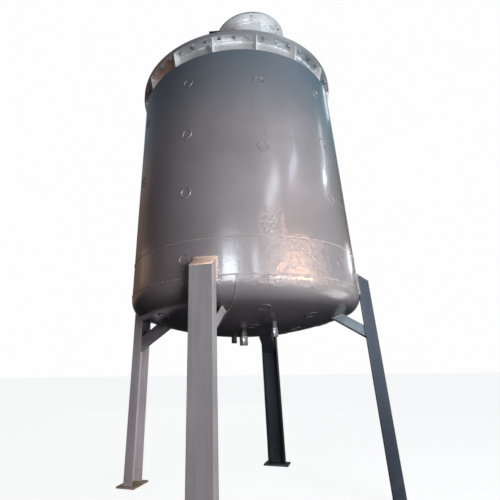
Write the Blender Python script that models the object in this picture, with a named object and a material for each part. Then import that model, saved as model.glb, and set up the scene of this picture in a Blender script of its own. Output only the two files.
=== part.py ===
"""Jacketed glue kettle on four channel legs.

A stainless kettle sits inside a painted steel jacket. The jacket's two courses and its
dished bottom carry four channel legs with knee braces and base plates. A bolted flange
with gusset plates closes the kettle with a dished lid, which has an open manhole neck and
a stool for the stirrer's drive. Metres, +Z up, the origin on the floor under the vessel's
axis. Azimuths count from -Y, where the front leg stands, towards +X.
"""
import math

import bmesh
import bpy
from mathutils import Matrix, Vector

GAP = 0.0003                  # what touching pieces keep between them
SIDES = 64                    # facets of the large round pieces
NECK_SIDES = 40
PIPE_SIDES = 20

# Jacket: painted mild steel
JACKET_RADIUS = 0.900
JACKET_WALL = 0.006
JACKET_TOP = 3.143
COURSE_SEAM = 1.572
HEAD_SEAM = 1.324
HEAD_TANGENT = 1.302
HEAD_KNUCKLE = 0.132
HEAD_CROWN = 2.500
KNUCKLE_STEPS = 4
CROWN_STEPS = 3

# Kettle: stainless steel, one jacket space inside the jacket
KETTLE_RADIUS = 0.848
KETTLE_WALL = 0.006

# Flanged joint between kettle and lid
FLANGE_RADIUS = 0.930
FLANGE_UNDERSIDE = 3.278
FLANGE_THICKNESS = 0.020
GASKET_RADIUS = 0.926
GASKET_THICKNESS = 0.003
GUSSET_COUNT = 16
GUSSET_AZIMUTH = math.radians(4.5)
GUSSET_THICKNESS = 0.008
GUSSET_TOP_RADIUS = 0.928
GUSSET_FOOT_RADIUS = 0.899
GUSSET_SINK = 0.002           # how far a gusset is fused into the flange

# Lid
LID_TANGENT = 3.345
LID_KNUCKLE = 0.100
LID_CROWN = 2.400

# Manhole neck, off the lid's centre
NECK_AZIMUTH = math.radians(34.4)
NECK_OFFSET = 0.477
NECK_RADIUS = 0.245
NECK_WALL = 0.006
NECK_FOOT = 3.430
NECK_FLANGE_RADIUS = 0.324
NECK_FLANGE_TOP = 3.717
NECK_FLANGE_THICKNESS = 0.016
NECK_SETBACK = 0.004          # the neck's end stops short of the flange's face
HUB_RADIUS = 0.257
HUB_HEIGHT = 0.028

# Drive stool over the lid's centre
STOOL_TURN = math.radians(15.0)
STIRRER_NECK_RADIUS = 0.084
STIRRER_NECK_WALL = 0.006
STIRRER_NECK_FOOT = 3.520
PAD_RADIUS = 0.142
PAD_TOP = 3.660
PAD_THICKNESS = 0.020
LANTERN_RADIUS = 0.1095
LANTERN_WALL = 0.008
RIB_THICKNESS = 0.010
RIB_DEPTH = 0.120
RIB_REACH = 0.230             # from the axis to a rib's tip
RIB_TIP = 0.020               # a rib's height at its tip
DRIVE_PLATE_WIDTH = 0.500
DRIVE_PLATE_THICKNESS = 0.016
DRIVE_PLATE_TOP = 4.140
DRIVE_PLATE_HOLE = 0.060

# Legs: rolled channels with their webs outwards
LEG_NAMES = ("front", "right", "rear", "left")
LEG_WIDTH = 0.150
LEG_DEPTH = 0.075
LEG_WEB = 0.006
LEG_FLANGE = 0.009
LEG_TOE = 0.8972              # from the axis to the toes, which meet the jacket
LEG_FACE = LEG_TOE + LEG_DEPTH
CAP_THICKNESS = 0.006
CAP_OUTER_TOP = 1.388
CAP_INNER_TOP = 1.447
CAP_INNER = JACKET_RADIUS + 2 * GAP
CAP_SLOPE = (CAP_INNER_TOP - CAP_OUTER_TOP) / (LEG_FACE - CAP_INNER)
BASE_DEPTH = 0.150
BASE_WIDTH = 0.220
BASE_THICKNESS = 0.012

# Knee braces: smaller channels with their webs underneath
BRACE_WIDTH = 0.125
BRACE_DEPTH = 0.065
BRACE_WEB = 0.006
BRACE_FLANGE = 0.008
BRACE_LOW = 0.996             # underside where it passes the leg's toes
BRACE_SLOPE = 0.66
BRACE_INNER = 0.600           # before it is cut to the dished bottom

# Pipe stubs under the dished bottom: azimuth, offset, outer radius, wall, foot, top
OUTLET = (math.radians(-75.0), 0.088, 0.0212, 0.0036, 0.990, 1.125)
STEAM = (math.radians(12.25), 0.245, 0.02415, 0.0037, 0.985, 1.068)
DRAIN = (math.radians(38.1), 0.507, 0.01685, 0.0032, 1.022, 1.107)
# Sockets screwed on two of them: outer radius, foot, top
STEAM_SOCKET = (0.0300, 0.958, 1.016)
DRAIN_SOCKET = (0.0228, 0.996, 1.049)

GREY = (0.245, 0.240, 0.245)
LEG_GREY = (0.230, 0.228, 0.235)
DARK_GREY = (0.080, 0.078, 0.082)
BASE_TAN = (0.330, 0.240, 0.175)
DRIVE_BLUE = (0.030, 0.050, 0.085)
STAINLESS = (0.600, 0.600, 0.610)
SOCKET_STEEL = (0.640, 0.640, 0.650)
GASKET_WHITE = (0.720, 0.710, 0.690)


def clear_scene():
    for old in list(bpy.data.objects):
        bpy.data.objects.remove(old, do_unlink=True)


def finish(name, color, roughness, metallic):
    material = bpy.data.materials.new(name)
    material.use_nodes = True
    shader = material.node_tree.nodes["Principled BSDF"]
    shader.inputs["Base Color"].default_value = (*color, 1.0)
    shader.inputs["Roughness"].default_value = roughness
    shader.inputs["Metallic"].default_value = metallic
    return material


def add_piece(name, bm, color, roughness=0.4, metallic=0.0, smooth=True):
    """Turns a bmesh into a named object with its own material."""
    bmesh.ops.recalc_face_normals(bm, faces=bm.faces)
    mesh = bpy.data.meshes.new(name)
    bm.to_mesh(mesh)
    bm.free()
    mesh.materials.append(finish(name, color, roughness, metallic))
    if smooth:
        mesh.shade_smooth()
        mesh.set_sharp_from_angle(angle=math.radians(30))
    piece = bpy.data.objects.new(name, mesh)
    bpy.context.collection.objects.link(piece)
    return piece


def polar(azimuth, radius, height=0.0):
    return Vector((radius * math.sin(azimuth), -radius * math.cos(azimuth), height))


def place(piece, azimuth=0.0, offset=0.0, height=0.0):
    """Turns a piece that was made at the front to an azimuth and moves it out from the axis."""
    piece.rotation_euler = (0.0, 0.0, azimuth)
    piece.location = polar(azimuth, offset, height)
    return piece


def turned(outline, sides=SIDES):
    """Solid of revolution about Z from a closed outline of (radius, height) points."""
    bm = bmesh.new()
    points = [bm.verts.new((0.0, -radius, height)) for radius, height in outline]
    edges = [bm.edges.new((a, b)) for a, b in zip(points, points[1:] + points[:1])]
    bmesh.ops.spin(bm, geom=points + edges, cent=(0, 0, 0), axis=(0, 0, 1), dvec=(0, 0, 0),
                   angle=math.tau, space=Matrix.Identity(4), steps=sides, use_merge=True,
                   use_normal_flip=False, use_duplicate=False)
    bmesh.ops.remove_doubles(bm, verts=bm.verts, dist=0.00001)
    bmesh.ops.dissolve_degenerate(bm, edges=bm.edges, dist=0.00001)
    return bm


def ring_outline(inner, outer, low, high):
    return [(outer, low), (outer, high), (inner, high), (inner, low)]


def tube(name, inner, outer, low, high, color, sides=SIDES, **look):
    return add_piece(name, turned(ring_outline(inner, outer, low, high), sides), color, **look)


def dish(radius, knuckle, crown, inset, rise):
    """Points of a torispherical head, from its tangent line to its pole.

    The head's outer surface has the given radius, knuckle and crown, and inset is how far
    inside it this surface lies. Heights count from the tangent line, upwards where rise is
    1 and downwards where it is -1.
    """
    knuckle_centre = radius - knuckle
    crown_height = math.sqrt((crown - knuckle) ** 2 - knuckle_centre ** 2)
    junction = math.asin(knuckle_centre / (crown - knuckle))
    small, large = knuckle - inset, crown - inset
    points = []
    for step in range(KNUCKLE_STEPS):
        angle = (math.pi / 2 - junction) * step / KNUCKLE_STEPS
        points.append((knuckle_centre + small * math.cos(angle), rise * small * math.sin(angle)))
    for step in range(CROWN_STEPS + 1):
        angle = junction * (1 - step / CROWN_STEPS)
        points.append((large * math.sin(angle), rise * (large * math.cos(angle) - crown_height)))
    points[-1] = (0.0, points[-1][1])
    return points


def raised(points, height):
    return [(radius, z + height) for radius, z in points]


def head_outline(radius, knuckle, crown, inset, wall, tangent, rim, rise):
    """Closed outline of a dished head with a straight rim."""
    outside = raised(dish(radius, knuckle, crown, inset, rise), tangent)
    inside = raised(dish(radius, knuckle, crown, inset + wall, rise), tangent)
    return [(radius - inset, rim)] + outside + inside[::-1] + [(radius - inset - wall, rim)]


def prism(outline, low, high):
    """Straight extrusion of an (x, y) outline between two heights."""
    bm = bmesh.new()
    base = bm.faces.new([bm.verts.new((x, y, low)) for x, y in outline])
    grown = bmesh.ops.extrude_face_region(bm, geom=[base])
    for item in grown["geom"]:
        if isinstance(item, bmesh.types.BMVert):
            item.co.z = high
    return bm


def side_prism(outline, half_width):
    """Extrusion across X of an outline of (distance out, height) points, at the front."""
    bm = bmesh.new()
    base = bm.faces.new([bm.verts.new((-half_width, -out, z)) for out, z in outline])
    grown = bmesh.ops.extrude_face_region(bm, geom=[base])
    for item in grown["geom"]:
        if isinstance(item, bmesh.types.BMVert):
            item.co.x = half_width
    return bm


def cutter(name, bm):
    """A guide solid, which only cuts or joins others."""
    bmesh.ops.recalc_face_normals(bm, faces=bm.faces)
    mesh = bpy.data.meshes.new(name)
    bm.to_mesh(mesh)
    bm.free()
    tool = bpy.data.objects.new(name, mesh)
    bpy.context.collection.objects.link(tool)
    tool.hide_render = True
    tool.display_type = "WIRE"
    return tool


def cut(piece, tool):
    modifier = piece.modifiers.new("cut_" + tool.name, "BOOLEAN")
    modifier.operation = "DIFFERENCE"
    modifier.solver = "EXACT"
    modifier.object = tool


def drill(pieces, name, azimuth, offset, radius, low, high, sides):
    """Cuts one upright round hole, a gap wider than what passes through it."""
    bit = cutter(name, turned([(0.0, low), (radius + GAP, low), (radius + GAP, high), (0.0, high)],
                              sides))
    place(bit, azimuth, offset)
    for piece in pieces:
        cut(piece, bit)


def build_jacket():
    inner = JACKET_RADIUS - JACKET_WALL
    tube("jacket_upper_course", inner, JACKET_RADIUS, COURSE_SEAM + GAP, JACKET_TOP, GREY)
    tube("jacket_lower_course", inner, JACKET_RADIUS, HEAD_SEAM + GAP, COURSE_SEAM, GREY)
    outline = head_outline(JACKET_RADIUS, HEAD_KNUCKLE, HEAD_CROWN, 0.0, JACKET_WALL,
                           HEAD_TANGENT, HEAD_SEAM, -1)
    head = add_piece("jacket_bottom_head", turned(outline), DARK_GREY)
    tube("jacket_closure_ring", KETTLE_RADIUS + GAP, inner - GAP, JACKET_TOP - JACKET_WALL,
         JACKET_TOP, GREY)
    return head


def build_kettle():
    inner = KETTLE_RADIUS - KETTLE_WALL
    inset = JACKET_RADIUS - KETTLE_RADIUS
    tube("kettle_shell", inner, KETTLE_RADIUS, HEAD_SEAM + GAP, FLANGE_UNDERSIDE - GAP,
         STAINLESS, roughness=0.3, metallic=1.0)
    outline = head_outline(JACKET_RADIUS, HEAD_KNUCKLE, HEAD_CROWN, inset, KETTLE_WALL,
                           HEAD_TANGENT, HEAD_SEAM, -1)
    return add_piece("kettle_bottom_head", turned(outline), STAINLESS, 0.3, 1.0)


def gusset_outline():
    """Outline of a gusset plate, from the kettle's wall out to the flange's rim."""
    top = FLANGE_UNDERSIDE + GUSSET_SINK
    foot = JACKET_TOP + GAP
    near = KETTLE_RADIUS + GAP
    return [(near, foot), (GUSSET_FOOT_RADIUS, foot), (GUSSET_TOP_RADIUS, FLANGE_UNDERSIDE),
            (GUSSET_TOP_RADIUS, top), (near, top)]


def build_body_flange():
    """The kettle's flange with its gusset plates welded underneath, as one solid."""
    bore = KETTLE_RADIUS - KETTLE_WALL
    flange = tube("body_flange", bore, FLANGE_RADIUS, FLANGE_UNDERSIDE,
                  FLANGE_UNDERSIDE + FLANGE_THICKNESS, STAINLESS, roughness=0.35, metallic=1.0)
    plates = bmesh.new()
    for number in range(GUSSET_COUNT):
        plate = side_prism(gusset_outline(), GUSSET_THICKNESS / 2)
        turn = Matrix.Rotation(GUSSET_AZIMUTH + math.tau * number / GUSSET_COUNT, 4, "Z")
        bmesh.ops.transform(plate, matrix=turn, verts=plate.verts)
        single = bpy.data.meshes.new("gusset")
        plate.to_mesh(single)
        plate.free()
        plates.from_mesh(single)
        bpy.data.meshes.remove(single)
    tool = cutter("gusset_plates", plates)
    weld = flange.modifiers.new("gussets", "BOOLEAN")
    weld.operation = "UNION"
    weld.solver = "EXACT"
    weld.object = tool


def build_lid():
    gasket_low = FLANGE_UNDERSIDE + FLANGE_THICKNESS + GAP
    gasket_high = gasket_low + GASKET_THICKNESS - 2 * GAP
    flange_low = gasket_high + GAP
    bore = KETTLE_RADIUS + GAP
    tube("flange_gasket", bore, GASKET_RADIUS, gasket_low, gasket_high, GASKET_WHITE,
         roughness=0.7)
    tube("lid_flange", bore, FLANGE_RADIUS, flange_low, flange_low + FLANGE_THICKNESS,
         STAINLESS, roughness=0.35, metallic=1.0)
    outline = head_outline(KETTLE_RADIUS, LID_KNUCKLE, LID_CROWN, 0.0, KETTLE_WALL,
                           LID_TANGENT, flange_low, 1)
    return add_piece("lid", turned(outline), STAINLESS, 0.3, 1.0)


def build_manhole(lid):
    """Open neck with its flange, and a hub ring under the flange."""
    steel = {"roughness": 0.3, "metallic": 1.0, "sides": NECK_SIDES}
    flange_low = NECK_FLANGE_TOP - NECK_FLANGE_THICKNESS
    bore = NECK_RADIUS + GAP
    pieces = [
        tube("manhole_neck", NECK_RADIUS - NECK_WALL, NECK_RADIUS, NECK_FOOT,
             NECK_FLANGE_TOP - NECK_SETBACK, STAINLESS, **steel),
        tube("manhole_hub_ring", bore, HUB_RADIUS, flange_low - GAP - HUB_HEIGHT,
             flange_low - GAP, STAINLESS, **steel),
        tube("manhole_flange", bore, NECK_FLANGE_RADIUS, flange_low, NECK_FLANGE_TOP,
             STAINLESS, **steel),
    ]
    for piece in pieces:
        place(piece, NECK_AZIMUTH, NECK_OFFSET)
    drill([lid], "manhole_hole", NECK_AZIMUTH, NECK_OFFSET, NECK_RADIUS, FLANGE_UNDERSIDE,
          NECK_FLANGE_TOP, NECK_SIDES)


def build_drive_stool(lid):
    """Neck for the stirrer's shaft and the plate above it, carried by a wide tube."""
    steel = {"roughness": 0.3, "metallic": 1.0, "sides": NECK_SIDES}
    tube("stirrer_neck", STIRRER_NECK_RADIUS - STIRRER_NECK_WALL, STIRRER_NECK_RADIUS,
         STIRRER_NECK_FOOT, PAD_TOP - NECK_SETBACK, STAINLESS, **steel)
    tube("stool_pad_flange", STIRRER_NECK_RADIUS + GAP, PAD_RADIUS, PAD_TOP - PAD_THICKNESS,
         PAD_TOP, STAINLESS, **steel)
    drill([lid], "stirrer_hole", 0.0, 0.0, STIRRER_NECK_RADIUS, FLANGE_UNDERSIDE, PAD_TOP,
          NECK_SIDES)
    plate_low = DRIVE_PLATE_TOP - DRIVE_PLATE_THICKNESS
    tube("drive_stool_tube", LANTERN_RADIUS - LANTERN_WALL, LANTERN_RADIUS, PAD_TOP + GAP,
         plate_low - GAP, DRIVE_BLUE, sides=NECK_SIDES)
    root, high = LANTERN_RADIUS + GAP, plate_low - GAP
    rib = [(root, high - RIB_DEPTH), (RIB_REACH, high - RIB_TIP), (RIB_REACH, high),
           (root, high)]
    for number in range(4):
        piece = add_piece(f"drive_plate_rib_{number + 1}", side_prism(rib, RIB_THICKNESS / 2),
                          DRIVE_BLUE, smooth=False)
        place(piece, STOOL_TURN + number * math.pi / 2)
    half = DRIVE_PLATE_WIDTH / 2
    corners = [(-half, -half), (half, -half), (half, half), (-half, half)]
    plate = add_piece("drive_mounting_plate", prism(corners, plate_low, DRIVE_PLATE_TOP),
                      DRIVE_BLUE, smooth=False)
    place(plate, STOOL_TURN)
    drill([plate], "shaft_hole", STOOL_TURN, 0.0, DRIVE_PLATE_HOLE,
          plate_low - DRIVE_PLATE_THICKNESS, DRIVE_PLATE_TOP + DRIVE_PLATE_THICKNESS,
          NECK_SIDES)


def channel_outline():
    """Leg section at the front: web on the outside, toes towards the axis."""
    half, inside = LEG_WIDTH / 2, LEG_WIDTH / 2 - LEG_FLANGE
    return [(-half, -LEG_FACE), (half, -LEG_FACE), (half, -LEG_TOE), (inside, -LEG_TOE),
            (inside, -LEG_FACE + LEG_WEB), (-inside, -LEG_FACE + LEG_WEB),
            (-inside, -LEG_TOE), (-half, -LEG_TOE)]


def cap_underside(out):
    """Height of the cap plate's underside at a distance out from the axis."""
    upright = CAP_THICKNESS * math.sqrt(1 + CAP_SLOPE ** 2)
    return CAP_OUTER_TOP + (LEG_FACE - out) * CAP_SLOPE - upright


def build_leg(name, azimuth):
    bm = prism(channel_outline(), BASE_THICKNESS + GAP, CAP_OUTER_TOP)
    for vert in bm.verts:
        if vert.co.z > CAP_OUTER_TOP - GAP:
            vert.co.z = cap_underside(-vert.co.y) - GAP
    place(add_piece(f"leg_{name}", bm, LEG_GREY, smooth=False), azimuth)

    outline = [(CAP_INNER, cap_underside(CAP_INNER)), (LEG_FACE, cap_underside(LEG_FACE)),
               (LEG_FACE, CAP_OUTER_TOP), (CAP_INNER, CAP_INNER_TOP)]
    cap = side_prism(outline, LEG_WIDTH / 2)
    place(add_piece(f"leg_cap_{name}", cap, LEG_GREY, smooth=False), azimuth)

    middle = (LEG_TOE + LEG_FACE) / 2
    half, reach = BASE_WIDTH / 2, BASE_DEPTH / 2
    corners = [(-half, -middle - reach), (half, -middle - reach), (half, -middle + reach),
               (-half, -middle + reach)]
    base = prism(corners, 0.0, BASE_THICKNESS)
    place(add_piece(f"base_plate_{name}", base, BASE_TAN, roughness=0.7, smooth=False), azimuth)


def build_brace(name, azimuth, dish_cutter):
    """Channel from the leg's web up to the dished bottom, cut to fit the dish."""
    stretch = math.sqrt(1 + BRACE_SLOPE ** 2)
    half, inside = BRACE_WIDTH / 2, BRACE_WIDTH / 2 - BRACE_FLANGE
    tall, floor = BRACE_DEPTH * stretch, BRACE_WEB * stretch
    section = [(-half, 0.0), (half, 0.0), (half, tall), (inside, tall), (inside, floor),
               (-inside, floor), (-inside, tall), (-half, tall)]
    outer = LEG_FACE - LEG_WEB - GAP
    low = BRACE_LOW + (LEG_TOE - outer) * BRACE_SLOPE
    run = outer - BRACE_INNER
    bm = bmesh.new()
    base = bm.faces.new([bm.verts.new((x, -outer, low + z)) for x, z in section])
    grown = bmesh.ops.extrude_face_region(bm, geom=[base])
    for item in grown["geom"]:
        if isinstance(item, bmesh.types.BMVert):
            item.co += Vector((0.0, run, run * BRACE_SLOPE))
    brace = add_piece(f"knee_brace_{name}", bm, LEG_GREY, smooth=False)
    place(brace, azimuth)
    cut(brace, dish_cutter)


def dish_block():
    """Everything above the dished bottom's outer surface, a gap proud of it."""
    outside = raised(dish(JACKET_RADIUS, HEAD_KNUCKLE, HEAD_CROWN, -GAP, -1), HEAD_TANGENT)
    top = COURSE_SEAM
    return turned([(JACKET_RADIUS + GAP, top)] + outside + [(0.0, top)])


def build_stub(name, sizes, color, pieces, **look):
    """Pipe stub, with the hole it passes through in each given piece."""
    azimuth, offset, radius, wall, foot, top = sizes
    pipe = tube(name, radius - wall, radius, foot, top, color, sides=PIPE_SIDES, **look)
    place(pipe, azimuth, offset)
    drill(pieces, name + "_hole", azimuth, offset, radius, foot, HEAD_SEAM, PIPE_SIDES)


def build_socket(name, sizes, stub):
    azimuth, offset, pipe_radius = stub[:3]
    radius, foot, top = sizes
    socket = tube(name, pipe_radius + GAP, radius, foot, top, SOCKET_STEEL, sides=PIPE_SIDES,
                  roughness=0.25, metallic=1.0)
    place(socket, azimuth, offset)


def build():
    clear_scene()
    jacket_head = build_jacket()
    kettle_head = build_kettle()
    build_body_flange()
    lid = build_lid()
    build_manhole(lid)
    build_drive_stool(lid)
    dish_cutter = cutter("dish_block", dish_block())
    for number, name in enumerate(LEG_NAMES):
        azimuth = number * math.pi / 2
        build_leg(name, azimuth)
        build_brace(name, azimuth, dish_cutter)
    build_stub("outlet_stub", OUTLET, DARK_GREY, [jacket_head, kettle_head])
    build_stub("steam_stub", STEAM, DARK_GREY, [jacket_head])
    build_stub("drain_stub", DRAIN, DARK_GREY, [jacket_head])
    build_socket("steam_socket", STEAM_SOCKET, STEAM)
    build_socket("drain_socket", DRAIN_SOCKET, DRAIN)


build()
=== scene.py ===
# Looks of the jacketed glue kettle: smooth shells, bolts, welds, paint, steel, light and camera.
import math
import random

import bmesh
import bpy
from mathutils import Matrix, Vector, noise


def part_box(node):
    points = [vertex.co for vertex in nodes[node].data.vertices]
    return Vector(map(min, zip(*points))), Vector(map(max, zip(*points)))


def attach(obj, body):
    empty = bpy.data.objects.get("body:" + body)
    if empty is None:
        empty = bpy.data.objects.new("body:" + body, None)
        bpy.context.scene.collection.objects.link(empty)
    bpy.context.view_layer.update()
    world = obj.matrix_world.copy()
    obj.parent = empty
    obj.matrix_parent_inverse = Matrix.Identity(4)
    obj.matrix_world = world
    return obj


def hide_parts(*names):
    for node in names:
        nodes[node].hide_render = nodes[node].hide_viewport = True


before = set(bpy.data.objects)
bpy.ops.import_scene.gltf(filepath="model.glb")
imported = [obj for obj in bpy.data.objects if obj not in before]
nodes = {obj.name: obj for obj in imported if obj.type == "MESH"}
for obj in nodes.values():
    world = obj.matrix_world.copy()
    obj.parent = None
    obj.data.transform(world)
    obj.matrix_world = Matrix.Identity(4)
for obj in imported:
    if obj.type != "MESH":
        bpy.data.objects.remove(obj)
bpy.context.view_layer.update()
random.seed(11)

camera = {
    "place": (0.7884, -2.9425, 0.7937),   # m, a person's eye a little under the jacket
    "heading": -18.87,                    # degrees from +Y towards +X
    "climb": 23.06,
    "roll": -0.89,
    "lens": 26.146,
    "shift": (0.0649, -0.0683),
}

floor = {"half": 60.0, "color": (0.12, 0.12, 0.12), "glow": 0.90, "relief": 0.0001}

sky = {                                   # what the steel and paint mirror, by sine of elevation
    "backdrop": (0.985, 0.985, 0.985),
    "brightSide": 105.0,                  # azimuth of the open side, the other side is dim
    "places": (0.0, 0.30, 0.48, 0.54, 0.62, 0.71, 0.79, 0.87, 1.0),
    "bright": [(0.44, 0.40, 0.46), (0.02, 0.02, 0.02), (0.02, 0.02, 0.02), (0.60, 0.75, 0.77),
               (0.02, 0.03, 0.04), (0.02, 0.03, 0.04), (0.08, 0.26, 0.34), (0.03, 0.11, 0.26),
               (0.02, 0.03, 0.04)],
    "dim": [(0.02, 0.02, 0.02), (0.01, 0.01, 0.01), (0.02, 0.02, 0.02), (0.15, 0.065, 0.06),
            (0.145, 0.09, 0.08), (0.155, 0.115, 0.117), (0.20, 0.215, 0.25), (0.02, 0.03, 0.04),
            (0.02, 0.03, 0.04)],
}

# Lamps stand round the vessel by azimuth from -Y towards +X: distance out, height, aim height.
# A soft lamp lights without a reflection, a card only shows as one, and "only" names a finish.
lamps = {
    "key": {"azimuth": 48, "out": 3.7, "height": 1.0, "aim": 1.3, "size": (2.6, 1.6),
            "watts": 172, "color": (1.0, 0.99, 1.0), "soft": True},
    "side": {"azimuth": 92, "out": 4.6, "height": 1.4, "aim": 1.4, "size": (2.4, 1.6),
             "watts": 30, "color": (0.85, 1.0, 0.82), "soft": True},
    "upper": {"azimuth": 40, "out": 5.0, "height": 6.0, "aim": 2.8, "size": (3.0, 2.0),
              "watts": 7, "color": (0.2, 0.45, 1.0), "soft": True},
    "overhead": {"azimuth": 60, "out": 0.8, "height": 8.5, "aim": 3.5, "size": (3.0, 3.0),
                 "watts": 12, "color": (0.95, 0.98, 1.0), "soft": True},
    "behind": {"azimuth": 205, "out": 7.0, "height": 3.2, "aim": 1.8, "size": (4.0, 3.0),
               "watts": 40, "color": (1.0, 0.98, 0.96)},
    "window": {"azimuth": 4.5, "out": 6.0, "height": 2.20, "aim": 1.4, "size": (1.2, 1.5),
               "watts": 150, "color": (0.86, 0.93, 1.0), "card": True},
    "sill": {"azimuth": 4, "out": 6.0, "height": 0.4, "aim": 1.3, "size": (1.0, 1.7),
             "watts": 16, "color": (0.85, 0.92, 1.0), "card": True},
    "smallWindow": {"azimuth": 26.5, "out": 6.0, "height": 2.45, "aim": 1.4, "size": (0.48, 1.3),
                    "watts": 29, "color": (0.95, 0.94, 1.0), "card": True},
    "shutter": {"azimuth": 41, "out": 6.0, "height": 3.1, "aim": 1.4, "size": (0.5, 1.0),
                "watts": 2.4, "color": (0.92, 1.0, 0.88), "card": True},
    "doorway": {"azimuth": 60, "out": 5.5, "height": 2.62, "aim": 1.4, "size": (3.0, 0.36),
                "watts": 52, "color": (1.0, 0.40, 0.22), "card": True, "only": "jacket_paint"},
    "glare": {"azimuth": 46, "out": 5.5, "height": 2.1, "aim": 1.4, "size": (1.5, 0.3),
              "watts": 44, "color": (1.0, 0.92, 0.88), "card": True, "only": "jacket_paint"},
    "warmGlare": {"azimuth": 67, "out": 5.5, "height": 2.1, "aim": 1.4, "size": (2.0, 0.3),
                  "watts": 135, "color": (1.0, 0.58, 0.33), "card": True, "only": "jacket_paint"},
    "doorstep": {"azimuth": 68, "out": 5.5, "height": 1.2, "aim": 1.3, "size": (2.6, 2.5),
                 "watts": 48, "color": (1.0, 0.72, 0.56), "card": True, "only": "jacket_paint"},
    "apron": {"azimuth": 47, "out": 5.6, "height": 1.2, "aim": 1.3, "size": (1.9, 2.5),
              "watts": 72, "color": (1.0, 0.90, 0.90), "card": True, "only": "jacket_paint"},
    "yard": {"azimuth": 112, "out": 5.5, "height": -0.8, "aim": 1.2, "size": (3.0, 2.6),
             "watts": 85, "color": (1.0, 0.97, 0.98), "card": True, "only": "jacket_paint"},
    "hatch": {"azimuth": 46, "out": 6.0, "height": 4.50, "aim": 1.9, "size": (0.5, 1.7),
              "watts": 25, "color": (0.88, 0.92, 1.0), "card": True, "lean": -62},
    "loft": {"azimuth": 70, "out": 6.0, "height": 5.15, "aim": 2.1, "size": (0.35, 1.2),
             "watts": 14, "color": (0.76, 0.84, 1.0), "card": True, "lean": -65},
    "gap": {"azimuth": 116, "out": 6.0, "height": 5.85, "aim": 2.1, "size": (0.16, 1.1),
            "watts": 5, "color": (0.75, 0.88, 1.0), "card": True, "only": "jacket_paint"},
    "slit": {"azimuth": 112, "out": 6.0, "height": 4.95, "aim": 2.1, "size": (0.34, 0.3),
             "watts": 11, "color": (0.75, 0.88, 1.0), "card": True},
    "skylight": {"azimuth": 74, "out": 1.9, "height": 5.4, "aim": 3.6, "size": (1.3, 0.9),
                 "watts": 11, "color": (0.92, 0.95, 1.0), "card": True},
    "rimHigh": {"azimuth": 148, "out": 6.0, "height": 7.5, "aim": 2.7, "size": (1.0, 0.9),
                "watts": 5, "color": (0.92, 0.97, 1.0), "card": True},
    "rimLow": {"azimuth": 140, "out": 6.0, "height": 3.0, "aim": 1.5, "size": (0.55, 0.5),
               "watts": 10, "color": (0.94, 0.97, 1.0), "card": True},
    "steelFill": {"azimuth": 78, "out": 4.5, "height": 0.9, "aim": 3.3, "size": (2.0, 1.6),
                  "watts": 60, "color": (0.66, 0.88, 1.0), "only": "stainless"},
    "leftWall": {"azimuth": -108, "out": 6.0, "height": 3.6, "aim": 2.0, "size": (3.0, 4.4),
                 "watts": 4.0, "color": (1.0, 0.75, 0.45), "card": True},
    "leftLow": {"azimuth": -92, "out": 6.0, "height": 2.95, "aim": 1.4, "size": (2.2, 0.8),
                "watts": 3.6, "color": (1.0, 0.66, 0.44), "card": True},
}

steps = {"large": 240, "neck": 120, "pipe": 48, "hole": 24}      # round a turned piece
rounding = {                              # m, on the edges of each kind of piece
    "turned": 0.0012, "gasket": 0.0004, "socket": 0.0018, "rib": 0.0012, "plate": 0.0014, "cap": 0.0010,
    "brace": 0.0016, "gusset": 0.0018, "nut": 0.0014,
}
creases = {"flat": 0.6, "turned": 25, "copied": 30, "sheet": 32, "weld": 60, "bolt": 25}     # degrees
clearance = 0.0003                        # m, between pieces that meet
fillet = 0.001                            # m, a weld's centre out of the corner that it fills
slack = 0.001                             # m, when points are picked by their place
pathStep = 0.004                          # m, between the points of a straight weld
merge = 0.00001                           # m, between points that are one


# Studio

def setCamera():
    data = bpy.data.cameras.new("camera")
    data.lens = camera["lens"]
    data.shift_x, data.shift_y = camera["shift"]
    eye = bpy.data.objects.new("camera", data)
    bpy.context.scene.collection.objects.link(eye)
    turn = Matrix.Rotation(math.radians(-camera["heading"]), 4, "Z")
    tip = Matrix.Rotation(math.radians(90 + camera["climb"]), 4, "X")
    roll = Matrix.Rotation(math.radians(camera["roll"]), 4, "Z")
    eye.matrix_world = Matrix.Translation(camera["place"]) @ turn @ tip @ roll
    bpy.context.scene.camera = eye


def polar(azimuth, radius, height=0.0):
    return Vector((radius * math.sin(azimuth), -radius * math.cos(azimuth), height))


# Pieces by slot, for the lamps that fall on one finish
litPieces = {slot: bpy.data.collections.new(slot + "_pieces") for slot in ("jacket_paint", "stainless")}


def addLamp(name, azimuth, out, height, aim, size, watts, color, soft=False, card=False, lean=0,
            only=None):
    data = bpy.data.lights.new(name, "AREA")
    data.shape = "RECTANGLE"
    data.size, data.size_y = size
    data.energy = watts
    data.color = color
    lamp = bpy.data.objects.new(name, data)
    bpy.context.scene.collection.objects.link(lamp)
    lamp.location = polar(math.radians(azimuth), out, height)
    face = (Vector((0, 0, aim)) - lamp.location).to_track_quat("-Z", "Y").to_matrix()
    lamp.rotation_euler = (face @ Matrix.Rotation(math.radians(lean), 3, "Z")).to_euler()
    lamp.visible_glossy = not soft
    lamp.visible_diffuse = not card
    lamp.visible_camera = False
    if only:
        lamp.light_linking.receiver_collection = litPieces[only]


# Shader wiring

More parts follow.
